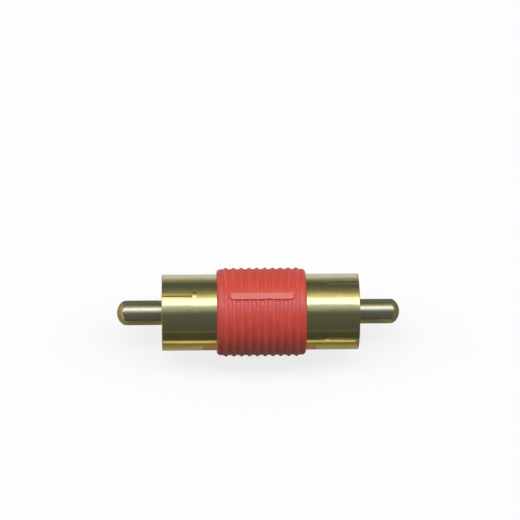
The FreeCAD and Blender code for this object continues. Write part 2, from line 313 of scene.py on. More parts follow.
def turned_piece(name: str, profile: Sequence[np.ndarray], count: int = 128) -> bpy.types.Object:
    """Turn a profile round the axis.

    Args:
        name: name of the piece.
        profile: points (x, r); it may begin and end on the axis, or else it closes.
        count: columns round the axis.

    Returns:
        The new object.
    """
    path = np.array(profile)
    angles = np.linspace(0, FULL_TURN, count, endpoint=False)
    grid = round_the_axis(path[:, :1], path[:, 1:], angles[None, :])
    on_axis = path[:, 1] < TOUCH
    faces = band_faces(len(path), count, closed=not on_axis[0])
    for number, face in enumerate(faces):
        row = number // count
        if on_axis[row]:
            face.pop(1)
        elif on_axis[(row + 1) % len(path)]:
            face.pop(2)
    return mesh_piece(name, grid.reshape(-1, 3), faces)


# Node networks

class NodeBench:
    """Lays out the nodes of one material or of the world."""

    def __init__(self, tree: bpy.types.NodeTree) -> None:
        """Start with that node tree, emptied."""
        self.tree = tree
        self.tree.nodes.clear()

    def add(self, kind: str, **settings: object) -> bpy.types.Node:
        """Add a node.

        Args:
            kind: Blender's name of the node type, without its first words.
            settings: properties of the node, by name.

        Returns:
            The node.
        """
        node = self.tree.nodes.new("ShaderNode" + kind)
        for name, value in settings.items():
            setattr(node, name, value)
        return node

    def join(self, source: Socket, target: Socket) -> None:
        """Link two sockets."""
        self.tree.links.new(source, target)

    def feed(self, socket: Socket, value: object) -> None:
        """Link a socket to another one, or set it to a plain value.

        Args:
            socket: the input to feed.
            value: an output socket, a number, a colour or a vector.
        """
        if isinstance(value, Socket):
            self.join(value, socket)
        elif isinstance(value, tuple) and socket.type == "RGBA":
            socket.default_value = (*value, 1.0)
        else:
            socket.default_value = value

    def maths(self, operation: str, first: object, second: object = 0.0, third: object = 0.0) -> Socket:
        """A calculation on numbers.

        Args:
            operation: Blender's name of the operation.
            first: first input, a socket or a number.
            second: second input, where the operation has one.
            third: third input, where the operation has one.

        Returns:
            The result.
        """
        node = self.add("Math", operation=operation)
        for socket, value in zip(node.inputs, (first, second, third)):
            self.feed(socket, value)
        return node.outputs[0]

    def stretched(self, along: float, across: float) -> Socket:
        """Places on the part, scaled apart along and across the axis.

        Args:
            along: scale along X.
            across: scale along Y and Z.

        Returns:
            The scaled places.
        """
        place = self.add("TexCoord")
        mapping = self.add("Mapping")
        self.join(place.outputs["Object"], mapping.inputs["Vector"])
        mapping.inputs["Scale"].default_value = (along / MM, across / MM, across / MM)
        return mapping.outputs["Vector"]

    def vector_maths(self, operation: str, first: object, second: object = None) -> Socket:
        """A calculation on vectors.

        Args:
            operation: Blender's name of the operation.
            first: first input, a socket or a vector.
            second: second input, where the operation has one; a number for SCALE.

        Returns:
            The result, which is a number for LENGTH and DISTANCE.
        """
        node = self.add("VectorMath", operation=operation)
        self.feed(node.inputs[0], first)
        if second is not None:
            self.feed(node.inputs["Scale" if operation == "SCALE" else 1], second)
        return node.outputs["Value" if operation in ("LENGTH", "DISTANCE") else "Vector"]

    def place_parts(self, kind: str) -> bpy.types.NodeOutputs:
        """X, Y and Z of the texture coordinates of that kind."""
        parts = self.add("SeparateXYZ")
        self.join(self.add("TexCoord").outputs[kind], parts.inputs["Vector"])
        return parts.outputs

    def noise(self, places: Socket, detail: float, rough: float) -> Socket:
        """Soft noise between 0 and 1.

        Args:
            places: where to read it.
            detail: layers of finer noise.
            rough: how strong the finer layers are.

        Returns:
            The noise.
        """
        node = self.add("TexNoise")
        self.join(places, node.inputs["Vector"])
        node.inputs["Scale"].default_value = 1.0
        node.inputs["Detail"].default_value = detail
        node.inputs["Roughness"].default_value = rough
        return node.outputs["Fac"]

    def spread(
        self, value: object, low: float, high: float, to_low: float = 0.0, to_high: float = 1.0
    ) -> Socket:
        """Carry one range of numbers over to another, smoothly and with ends held.

        Args:
            value: the number.
            low: start of its range.
            high: end of its range.
            to_low: result at the start.
            to_high: result at the end.

        Returns:
            The result.
        """
        node = self.add("MapRange", interpolation_type="SMOOTHSTEP")
        names = ("Value", "From Min", "From Max", "To Min", "To Max")
        for name, given in zip(names, (value, low, high, to_low, to_high)):
            self.feed(node.inputs[name], given)
        return node.outputs["Result"]

    def blend(self, share: object, first: object, second: object) -> Socket:
        """A mix of two colours.

        Args:
            share: how much of the second colour there is.
            first: colour at a share of 0.
            second: colour at a share of 1.

        Returns:
            The mixed colour.
        """
        node = self.add("Mix", data_type="RGBA")
        # The sockets of a Mix node share their names, so the colour ones go by number
        self.feed(node.inputs[0], share)
        self.feed(node.inputs[6], first)
        self.feed(node.inputs[7], second)
        return node.outputs[2]

    def ramp(self, value: object, stops: Sequence[tuple[float, Colour]]) -> Socket:
        """A colour that follows a number.

        Args:
            value: the number, from 0 to 1.
            stops: numbers and their colours, in order.

        Returns:
            The colour.
        """
        node = self.add("ValToRGB")
        self.feed(node.inputs["Fac"], value)
        elements = node.color_ramp.elements
        while len(elements) < len(stops):
            elements.new(0.5)
        for element, (place, colour) in zip(elements, stops):
            element.position = place
            element.color = (*colour, 1.0)
        return node.outputs["Color"]

    def bump(self, height: Socket, depth: float, under: Socket | None = None) -> Socket:
        """Surface relief.

        Args:
            height: relief from 0 to 1.
            depth: its height.
            under: relief to lay this one over.

        Returns:
            The bumped normal.
        """
        node = self.add("Bump")
        self.join(height, node.inputs["Height"])
        node.inputs["Distance"].default_value = depth * MM
        if under is not None:
            self.join(under, node.inputs["Normal"])
        return node.outputs["Normal"]

    def mixed(self, share: object, first: bpy.types.Node, second: bpy.types.Node) -> bpy.types.Node:
        """A mix of two shaders.

        Args:
            share: how much of the second shader there is.
            first: shader at a share of 0.
            second: shader at a share of 1.

        Returns:
            The mixed shader.
        """
        node = self.add("MixShader")
        self.feed(node.inputs[0], share)
        self.join(first.outputs[0], node.inputs[1])
        self.join(second.outputs[0], node.inputs[2])
        return node

    def finish(self, shader: bpy.types.Node, kind: str = "OutputMaterial") -> None:
        """Send a shader to the output of a material, or of another kind."""
        self.join(shader.outputs[0], self.add(kind).inputs["Surface"])


def new_material(name: str) -> tuple[bpy.types.Material, NodeBench]:
    """An empty material, and the bench to lay its nodes out on."""
    material = bpy.data.materials.new(name)
    material.use_nodes = True
    return material, NodeBench(material.node_tree)


# Finishes

class Pattern(Enum):
    """Noise in the finishes: scale along and across the axis, layers, strength of the finer ones."""

    HANDLING = (0.35, 0.35, 4.0, 0.6)
    STREAKS = (3.0, 0.15, 3.0, 0.6)
    MOTTLE = (1.5, 1.5, 5.0, 0.7)
    UNEVENNESS = (0.22, 0.8, 2.0, 0.4)
    TURNING = (14.0, 0.5, 2.0, 0.5)
    CLOUDS = (0.5, 0.5, 3.0, 0.5)
    SPECKS = (7.0, 7.0, 2.0, 0.6)
    GRAIN = (16.0, 16.0, 2.0, 0.5)
    SWELL = (1.4, 1.4, 2.0, 0.5)

    def on(self, bench: NodeBench) -> Socket:
        """The pattern, from 0 to 1, on a material's bench."""
        along, across, detail, rough = self.value
        return bench.noise(bench.stretched(along, across), detail, rough)


@dataclass(frozen=True)
class Plating:
    """Polished plate on turned brass.

    Attributes:
        name: name of the material.
        slot: name of a material slot; not used.
        colour: bright colour of the plate.
        shade: colour where it has dulled.
        polish: roughness where it is clean.
        smudge: roughness where it has been handled.
        turning: depth of the turning marks.
        wave: depth of the slow unevenness.
        film: share of a dull film that scatters light over the plate.
        haze: what small dull patches add to the roughness.
    """

    name: str
    slot: str
    colour: Colour
    shade: Colour
    polish: float
    smudge: float
    turning: float
    wave: float
    film: float = 0.0
    haze: float = 0.06

    def material(self) -> bpy.types.Material:
        """Make the material.

        Returns:
            The material.
        """
        material, bench = new_material(self.name)
        shader = bench.add("BsdfPrincipled")
        shader.inputs["Metallic"].default_value = 1.0 - self.film
        handled = Pattern.HANDLING.on(bench)
        dulled = bench.spread(handled, 0.45, 0.75)
        streaks = bench.spread(Pattern.STREAKS.on(bench), 0.48, 0.72, to_high=0.6)
        mottle = bench.spread(Pattern.MOTTLE.on(bench), 0.52, 0.68)
        base = bench.blend(dulled, self.colour, self.shade)
        worn = bench.maths("MAXIMUM", streaks, bench.maths("MULTIPLY", mottle, 0.5))
        base = bench.blend(worn, base, self.shade)
        bench.join(base, shader.inputs["Base Color"])
        clean = bench.spread(handled, 0.4, 0.8, self.polish, self.smudge)
        bench.join(bench.maths("MULTIPLY_ADD", mottle, self.haze, clean), shader.inputs["Roughness"])
        slow = bench.bump(Pattern.UNEVENNESS.on(bench), self.wave)
        bench.join(bench.bump(Pattern.TURNING.on(bench), self.turning, slow), shader.inputs["Normal"])
        bench.finish(shader)
        return material


@dataclass(frozen=True)
class Spot:
    """A small mark in a moulding.

    Attributes:
        place: its middle, as x, y and z.
        radius: where it ends.
        colour: its colour.
        strength: how much of its colour shows at its middle.
    """

    place: Place
    radius: float
    colour: Colour
    strength: float = 1.0

    def share(self, bench: NodeBench, ragged: Socket) -> Socket:
        """How much of the spot there is at each place.

        Args:
            bench: the material's bench.
            ragged: noise that breaks up its edge.

        Returns:
            The share, from 0 to 1.
        """
        away = bench.vector_maths("DISTANCE", bench.stretched(1.0, 1.0), self.place)
        rough_edge = bench.maths("MULTIPLY_ADD", ragged, self.radius, away)
        return bench.spread(rough_edge, self.radius * 0.8, self.radius * 1.5, self.strength, 0.0)


@dataclass(frozen=True)
class Moulding:
    """Moulded plastic.

    Attributes:
        name: name of the material.
        slot: name of a material slot; not used.
        colour: main colour.
        pale: colour of the paler clouds in it.
        dark: colour of the darker clouds in it.
        rough: roughness.
        grain: depth of the fine grain.
        gloss: strength of the sheen.
        glow: share of light that passes under the surface.
        glow_depth: how far it passes.
        grooves: radii of the groove floors and of the rib tops, between which the painted shade fades out.
        painted_groove_shade: share of the colour that is left on the groove floors, a painted shade for the
            light that the ribs keep out.
        crest: radii from which and at which the painted sheen shows.
        painted_sheen_colour: paler colour of the highest places, a painted sheen on the bar's flat top.
        spots: small marks of another colour.
    """

    name: str
    slot: str
    colour: Colour
    pale: Colour
    dark: Colour
    rough: float
    grain: float
    gloss: float = 0.5
    glow: float = 0.0
    glow_depth: float = 0.3
    grooves: tuple[float, float] = (0.0, 0.0)
    painted_groove_shade: float = 1.0
    crest: tuple[float, float] = (0.0, 0.0)
    painted_sheen_colour: Colour = (1.0, 1.0, 1.0)
    spots: tuple[Spot, ...] = ()

    def material(self) -> bpy.types.Material:
        """Make the material.

        Returns:
            The material.
        """
        material, bench = new_material(self.name)
        shader = bench.add("BsdfPrincipled")
        clouds = bench.spread(Pattern.CLOUDS.on(bench), 0.35, 0.65)
        specks = Pattern.SPECKS.on(bench)
        base = bench.blend(clouds, self.dark, self.colour)
        base = bench.blend(bench.spread(specks, 0.5, 0.85, to_high=0.6), base, self.pale)
        if self.painted_groove_shade < 1:
            base = self.shaded(bench, base)
        for spot in self.spots:
            base = bench.blend(spot.share(bench, specks), base, spot.colour)
        bench.join(base, shader.inputs["Base Color"])
        rough = bench.spread(specks, 0.3, 0.7, self.rough - 0.04, self.rough + 0.06)
        bench.join(rough, shader.inputs["Roughness"])
        shader.inputs["Specular IOR Level"].default_value = self.gloss
        shader.inputs["Subsurface Weight"].default_value = self.glow
        shader.inputs["Subsurface Radius"].default_value = (1.0, 0.35, 0.25)
        shader.inputs["Subsurface Scale"].default_value = self.glow_depth * MM
        swell = bench.bump(Pattern.SWELL.on(bench), self.grain * 3)
        bench.join(bench.bump(Pattern.GRAIN.on(bench), self.grain, swell), shader.inputs["Normal"])
        bench.finish(shader)
        return material

    def shaded(self, bench: NodeBench, base: Socket) -> Socket:
        """Darken a colour in the grooves between ribs, a painted shade, and turn it paler on the crest, a
        painted sheen.

        Args:
            bench: the material's bench.
            base: the colour.

        Returns:
            The changed colour.
        """
        radius = bench.vector_maths("LENGTH", bench.stretched(0.0, 1.0))
        # Painted shade: the colour is darkened on the groove floors, where the ribs keep light out
        unshaded_share = bench.spread(radius, *self.grooves, self.painted_groove_shade, 1.0)
        # Painted sheen: the bar's flat top is turned paler, where it catches the overhead light
        high = bench.spread(radius, *self.crest)
        return bench.blend(high, bench.vector_maths("SCALE", base, unshaded_share), self.painted_sheen_colour)


SHELL_GOLD = Plating(
    "shell_gold", "gold_plate", (0.88, 0.74, 0.27), (0.72, 0.64, 0.29),
    polish=0.09, smudge=0.17, turning=0.0006, wave=0.026, film=0.025,
)
PIN_GOLD = Plating(
    "pin_gold", "pin_plate", (0.69, 0.62, 0.33), (0.58, 0.51, 0.27),
    polish=0.18, smudge=0.30, turning=0.0006, wave=0.012, film=0.08,
)
TUBE_BRASS = Plating(
    "bare_brass", "tube_brass", (0.78, 0.60, 0.27), (0.60, 0.45, 0.20),
    polish=0.25, smudge=0.40, turning=0.0015, wave=0.003,
)
TINNED = Plating(
    "tinned_copper", "tinned_wire", (0.72, 0.71, 0.68), (0.58, 0.57, 0.55),
    polish=0.28, smudge=0.42, turning=0.001, wave=0.003,
)
GRIP_RED = Moulding(
    "moulded_red", "grip_red", (0.84, 0.093, 0.053), (0.88, 0.145, 0.10), (0.79, 0.080, 0.045),
    rough=0.40, grain=0.0012, gloss=0.7, glow=0.10, glow_depth=0.4,
    # A painted sheen pales the bar's flat top
    # Painted shade darkens the groove floors between the ribs
    grooves=(5.54, 5.70), painted_groove_shade=0.88, crest=(5.78, 5.86), painted_sheen_colour=(0.85, 0.15, 0.10),
    spots=(
        Spot((1.26, -0.45, 5.8), 0.26, (0.62, 0.17, 0.15), 0.8),
        # The flash lumps are real; their near-white colour is a painted highlight on them
        Spot((0.26, -1.02, 5.5), 0.11, (1.0, 0.76, 0.68)),
        Spot((1.33, -1.00, 5.5), 0.10, (1.0, 0.76, 0.68)),
    ),
)
BUSH_WHITE = Moulding(
    "bush_white", "insulator", (0.72, 0.70, 0.64), (0.78, 0.76, 0.70), (0.66, 0.64, 0.58),
    rough=0.45, grain=0.001, glow=0.2,
)
SLEEVE_GREY = Moulding(
    "sleeve_grey", "sleeve", (0.52, 0.52, 0.49), (0.60, 0.60, 0.57), (0.46, 0.46, 0.43),
    rough=0.50, grain=0.0015,
)


def dress(piece: bpy.types.Object, finish: Plating | Moulding, *nodes: str) -> None:
    """Give a piece its finish, and its place in the frame.

    Args:
        piece: the piece.
        finish: its finish.
        nodes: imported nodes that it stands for.
    """
    piece.data.materials.clear()
    piece.data.materials.append(bpy.data.materials.get(finish.name) or finish.material())
    if nodes:
        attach(piece, "root")
        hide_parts(*nodes)
    LOG.info("%s: %d faces, %s", piece.name, len(piece.data.polygons), finish.name)


# Plug shells

class Surface(Enum):
    """The part of a shell's wall that a row of points lies on."""

    OUTSIDE = "outside"
    RIM = "rim"
    INSIDE = "inside"


class WallRow(NamedTuple):
    """A row of points round a shell's wall.

    Attributes:
        x: shoulder to the row.
        r: distance from the axis.
        facing_x: how far the wall faces out of the plug there, up to 1.
        facing_r: how far it faces away from the axis, from -1 to 1.
        surface: the part of the wall that it lies on.
    """

    x: float
    r: float
    facing_x: float
    facing_r: float
    surface: Surface


@dataclass(frozen=True)
class KeyGroove:
    """The groove round a shell that a key of the grip fills.

    Attributes:
        start: shoulder to the groove.
        width: its width.
        depth: its depth.
    """

    start: float = 0.8
    width: float = 1.1
    depth: float = 0.3

    def end(self) -> float:
        """Shoulder to the groove's far side."""
        return self.start + self.width


@dataclass
class PlugShell:
    """A turned and plated cup with four sawn slits and a raised dot at each slit's end.

    Attributes:
        side: the plug that it belongs to.
        slit_turn: angle of its first slit, from +Z towards +Y, in degrees.
        dot_height: height of the dots.
        slit_width: width of the slits between their lips.
        wall: thickness of the wall round the socket.
        web: thickness of the socket's floor.
        neck_bore: radius of the hole through the floor.
        spigot_radius: radius of the tail that the tube goes over.
        key: the groove that the grip locks into.
        rim_ease: radius of the rim's outer edge.
        mouth_ease: radius of the rim's inner edge.
        slit_count: number of slits.
        slit_length: rim to the closed end of a slit.
        lip: radius of the slits' edges.
        dot_radius: radius of the dots.
        dot_edge: rounding at the foot of the dots.
        dot_aside: middle of a slit to the middle of its dot.
        step: spacing of rows and columns over a dot.
        past_key: key groove to the first row of the wall.
        past_lip: lip of a slit to the next column.
        past_slit: closed end of a slit to the next row on the plain wall.
        plain_columns: columns between the dense ones of two slits, with their ends.
        radius: outer radius, from the frame.
        length: shoulder to rim, from the frame.
    """

    side: Side
    slit_turn: float
    dot_height: float
    slit_width: float
    wall: float = 0.75
    web: float = 1.5
    neck_bore: float = 2.62
    spigot_radius: float = 3.6
    key: KeyGroove = KeyGroove()
    rim_ease: float = 0.10
    mouth_ease: float = 0.22
    slit_count: int = 4
    slit_length: float = 3.85
    lip: float = 0.025
    dot_radius: float = 0.38
    dot_edge: float = 0.012
    dot_aside: float = 0.20
    step: float = 0.045
    past_key: float = 0.05
    past_lip: float = 0.04
    past_slit: float = 0.4
    plain_columns: int = 38
    radius: float = field(init=False)
    length: float = field(init=False)

    def __post_init__(self) -> None:
        """Read the shell's outer size from the frame."""
        self.radius = node_radius(self.side.node("shell"))
        self.length = abs(self.side.ends("shell")[0] - self.side.shoulder())

    def bore(self) -> float:
        """Radius of the socket."""
        return self.radius - self.wall

    def slit_end(self) -> float:
        """Shoulder to the closed end of a slit."""
        return self.length - self.slit_length

    def dot_middle(self) -> float:
        """Shoulder to the middle of a dot."""
        return self.slit_end() - self.dot_radius + self.slit_width / 2

    def lip_steps(self) -> np.ndarray:
        """Distances from a slit's edge that draw its rounded lip."""
        turns = np.radians([0.0, 30.0, 60.0, 90.0])
        return np.append(self.lip * (1 - np.cos(turns)), self.lip * 1.6)

    def rows(self) -> list[WallRow]:
        """The wall's profile.

        Returns:
            Rows from the key groove over the rim and down to the socket floor.
        """
        end = self.slit_end()
        dense = np.arange(self.dot_middle() - self.dot_radius * 1.2, end - self.lip * 2, self.step)
        straight = np.concatenate([
            np.linspace(self.key.end() + self.past_key, dense[0] - self.step, 4),
            dense,
            end - self.lip_steps()[::-1],
            np.linspace(end + self.past_slit, self.length - self.rim_ease * 1.5, 5),
        ])
        rows = [WallRow(x, self.radius, 0.0, 1.0, Surface.OUTSIDE) for x in straight]
        outer_arc = (self.rim_ease, self.radius - self.rim_ease, np.linspace(90, 0, 7))
        inner_arc = (self.mouth_ease, self.bore() + self.mouth_ease, np.linspace(0, -90, 9))
        for ease, middle, turns in (outer_arc, inner_arc):
            for turn in np.radians(turns):
                x, r = math.cos(turn), math.sin(turn)
                rows.append(WallRow(self.length - ease * (1 - x), middle + ease * r, x, r, Surface.RIM))
        inner = straight[straight < self.length - self.mouth_ease * 1.2]
        return rows + [WallRow(x, self.bore(), 0.0, -1.0, Surface.INSIDE) for x in inner[::-1]]

    def columns(self) -> np.ndarray:
        """Angles of the columns round the wall, dense beside each slit.

        Returns:
            Rising angles from the first slit's own, in radians.
        """
        half = self.slit_width / 2
        near = half + self.lip_steps()
        dot_side = self.dot_radius * 1.25 + self.dot_aside
        dotted = np.arange(near[-1] + self.past_lip, dot_side, self.step)
        beside = np.concatenate([near, dotted]) / self.radius
        inside = np.array([0.0, half / 2]) / self.radius
        sector = FULL_TURN / self.slit_count
        plain = np.linspace(beside[-1], sector - beside[-1], self.plain_columns)[1:-1]
        one = np.concatenate([inside, beside, plain, sector - beside[::-1], sector - inside[:0:-1]])
        return np.concatenate([one + sector * number for number in range(self.slit_count)])

    def offsets(self, angles: np.ndarray) -> np.ndarray:
        """Distance of each column from the middle of the nearest slit."""
        sector = FULL_TURN / self.slit_count
        return ((angles + sector / 2) % sector - sector / 2) * self.radius

    def is_cut(self, row: WallRow) -> bool:
        """Whether a row runs through the slits."""
        return row.x >= self.slit_end() - TOUCH

    def in_slit(self, across: np.ndarray) -> np.ndarray:
        """Which columns lie in a slit or on its edge."""
        return np.abs(across) < self.slit_width / 2 + TOUCH

    def sunk(self, row: WallRow, across: np.ndarray) -> np.ndarray:
        """How far the wall is sunk by a slit's lip and raised by the dot.

        Args:
            row: the row of points.
            across: distance of each column from the middle of the slit.

        Returns:
            A depth for each column, below zero where the wall is raised.
        """
        past_side = np.clip(np.abs(across) - self.slit_width / 2, 0, None)
        outside_slit = np.hypot(max(self.slit_end() - row.x, 0.0), past_side)
        left = np.clip(self.lip - outside_slit, 0, None)
        depth = self.lip - np.sqrt(np.clip(self.lip ** 2 - left ** 2, 0, None))
        if row.surface is not Surface.OUTSIDE:
            return depth
        ball = (self.dot_radius ** 2 + self.dot_height ** 2) / (2 * self.dot_height)
        away = np.hypot(row.x - self.dot_middle(), across - self.dot_aside)
        dot = np.sqrt(np.clip(ball ** 2 - away ** 2, 0, None)) - ball + self.dot_height
        return depth - soft_max(dot, 0 * dot, self.dot_edge)

    def slotted_wall(self) -> tuple[np.ndarray, list[list[int]]]:
        """The wall from its key groove to the rim and back to the socket floor.

        Returns:
            Points in the shell's own frame and the faces between them.
        """
        rows = self.rows()
        angles = self.columns()
        across = self.offsets(angles)
        count = len(angles)
        grid = []
        for row in rows:
            depth = self.sunk(row, across)
            grid.append(round_the_axis(row.x - depth * row.facing_x, row.r - depth * row.facing_r, angles))
        gap = self.in_slit(across)
        sawn = gap & np.roll(gap, -1)
        faces = []
        for number, face in enumerate(band_faces(len(rows), count)):
            row = number // count
            if not (sawn[number % count] and self.is_cut(rows[row]) and self.is_cut(rows[row + 1])):
                faces.append(face)
        return np.concatenate(grid), faces + self.slit_faces(rows, across)

    def slit_faces(self, rows: Sequence[WallRow], across: np.ndarray) -> list[list[int]]:
        """The sawn faces inside the slits.

        Args:
            rows: the wall's rows.
            across: distance of each column from the nearest slit.

        Returns:
            The faces, as point numbers.
        """
        count = len(across)
        cut = [number for number, row in enumerate(rows) if self.is_cut(row)]
        outer = [number for number in cut if rows[number].surface is Surface.OUTSIDE]
        inner = [number for number in cut if rows[number].surface is Surface.INSIDE][::-1]
        pairs = list(zip(outer, inner))
        rim = range(pairs[-1][0], pairs[-1][1] + 1)
        faces = []
        for column in np.flatnonzero(np.abs(np.abs(across) - self.slit_width / 2) < TOUCH):
            for (out_a, in_a), (out_b, in_b) in zip(pairs, pairs[1:]):
                faces.append([line * count + column for line in (out_a, out_b, in_b, in_a)])
            faces.append([line * count + column for line in rim])
        near, far = (line * count for line in pairs[0])
        gap = self.in_slit(across)
        for column in np.flatnonzero(gap & np.roll(gap, -1)):
            beside = (column + 1) % count
            faces.append([near + column, near + beside, far + beside, far + column])
        return faces

    def back_profile(self) -> list[np.ndarray]:
        """The rest of the profile: socket floor, neck bore, tail, shoulder and key groove.

        Returns:
            Its points, from the wall's last row to its first one.
        """
        rows = self.rows()
        key_floor = self.radius - self.key.depth
        return eased_profile([
            Corner(rows[-1].x, self.bore()),
            Corner(self.web, self.bore()),
            Corner(self.web, self.neck_bore),
            Corner(-SPIGOT_LENGTH, self.neck_bore),
            Corner(-SPIGOT_LENGTH, self.spigot_radius),
            Corner(0.0, self.spigot_radius),
            Corner(0.0, self.radius),
            Corner(self.key.start, self.radius),
            Corner(self.key.start, key_floor),
            Corner(self.key.end(), key_floor),
            Corner(self.key.end(), self.radius),
            Corner(rows[0].x, self.radius),
        ], closed=False)

    def build(self) -> None:
        """Make the shell."""
        wall_points, faces = self.slotted_wall()
        angles = self.columns()
        back = np.array(self.back_profile())
        back_points = round_the_axis(back[:, :1], back[:, 1:], angles[None, :]).reshape(-1, 3)
        faces += band_faces(len(back), len(angles), first=len(wall_points))
        turn = math.radians(self.slit_turn)
        along, y, z = np.vstack([wall_points, back_points]).T
        placed = np.stack([
            self.side.shoulder() + self.side.value * along,
            y * math.cos(turn) + z * math.sin(turn),
            z * math.cos(turn) - y * math.sin(turn),
        ], axis=1)
        dress(mesh_piece(self.side.node("plug_shell"), placed, faces), SHELL_GOLD, self.side.node("shell"))


# Insulators

@dataclass(frozen=True)
class Bush:
    """A moulded insulator: a round head on the socket floor and a neck through it.

    Attributes:
        side: the plug that it belongs to.
        head: length of the head.
        neck_radius: radius of the neck.
        pin_bore: radius of the bore that holds the pin.
        head_ease: radius of the head's edge.
        sink_radius: radius of the hollow in its front.
        sink_depth: depth of that hollow.
        ease: radius of the other moulded edges.
    """

    side: Side
    head: float = 1.18
    neck_radius: float = 2.6
    pin_bore: float = 1.82
    head_ease: float = 0.25
    sink_radius: float = 2.9
    sink_depth: float = 0.18
    ease: float = 0.06

    def build(self) -> None:
        """Make the insulator."""
        node = self.side.node("insulator")
        front, tail = self.side.ends("insulator")
        back = front - self.side.value * self.head
        sunk = front - self.side.value * self.sink_depth
        radius = node_radius(node)
        piece = turned_piece(self.side.node("bush"), eased_profile([
            Corner(tail, self.pin_bore),
            Corner(tail, self.neck_radius, self.ease),
            Corner(back, self.neck_radius),
            Corner(back, radius, 0.05),
            Corner(front, radius, self.head_ease),
            Corner(front, self.sink_radius, self.ease),
            Corner(sunk, self.sink_radius - self.sink_depth, self.ease),
            Corner(sunk, self.pin_bore, self.ease / 2),
        ]))
        dress(piece, BUSH_WHITE, node)


# Centre pins

@dataclass(frozen=True)
class CentrePin:
    """A turned and plated pin with a rounded nose and a drilled tail.

    Attributes:
        side: the plug that it belongs to.
        radius: radius of the shank.
        nose: length of the nose.
        nose_shoulder: radius of the arc between shank and nose.
        band_radius: radius of the band that the insulator holds.
        band_start: end of the tail to the band.
        band_end: middle of the part to the end of the band.
        collar: thickness of the collar behind the insulator.
        tail_radius: radius of the tail.
        hole_radius: radius of the hole for the link wire.
        hole_depth: depth of that hole.
        drill_point: depth of the drill's point beyond it.
        ease: radius of the turned edges.
    """

    side: Side
    radius: float = 1.6
    nose: float = 0.93
    nose_shoulder: float = 0.8
    band_radius: float = 1.8
    band_start: float = 1.22
    band_end: float = 5.97
    collar: float = 0.4
    tail_radius: float = 1.0
    hole_radius: float = 0.55
    hole_depth: float = 1.6
    drill_point: float = 0.33
    ease: float = 0.04

    def build(self) -> None:
        """Make the pin."""
        node = self.side.node("pin")
        out = self.side.value
        tip, tail = self.side.ends("pin")
        collar_front = out * (abs(tail) + self.band_start)
        collar_back = collar_front - out * self.collar
        hole_floor = tail + out * self.hole_depth
        profile = eased_profile([
            Corner(hole_floor + out * self.drill_point, 0.0),
            Corner(hole_floor, self.hole_radius),
            Corner(tail, self.hole_radius),
            Corner(tail, self.tail_radius, self.ease),
            Corner(collar_back, self.tail_radius),
            Corner(collar_back, node_radius(node), self.ease),
            Corner(collar_front, node_radius(node), self.ease),
            Corner(collar_front, self.band_radius),
            Corner(out * self.band_end, self.band_radius, self.ease),
            Corner(out * self.band_end, self.radius),
            *nose_corners(tip, out, self.radius, self.nose, self.nose_shoulder),
        ], closed=False)
        dress(turned_piece(self.side.node("centre_pin"), profile), PIN_GOLD, node)


# Moulded grip

@dataclass(frozen=True)
class Scar:
    """A bite that the gate left in one side of the bar.

    Attributes:
        x: place along the axis.
        way: side of the bar, 1 towards +Y and -1 towards -Y.
        radius: how far it spreads.
        bite: how deep it goes.
    """

    x: float
    way: int
    radius: float
    bite: float


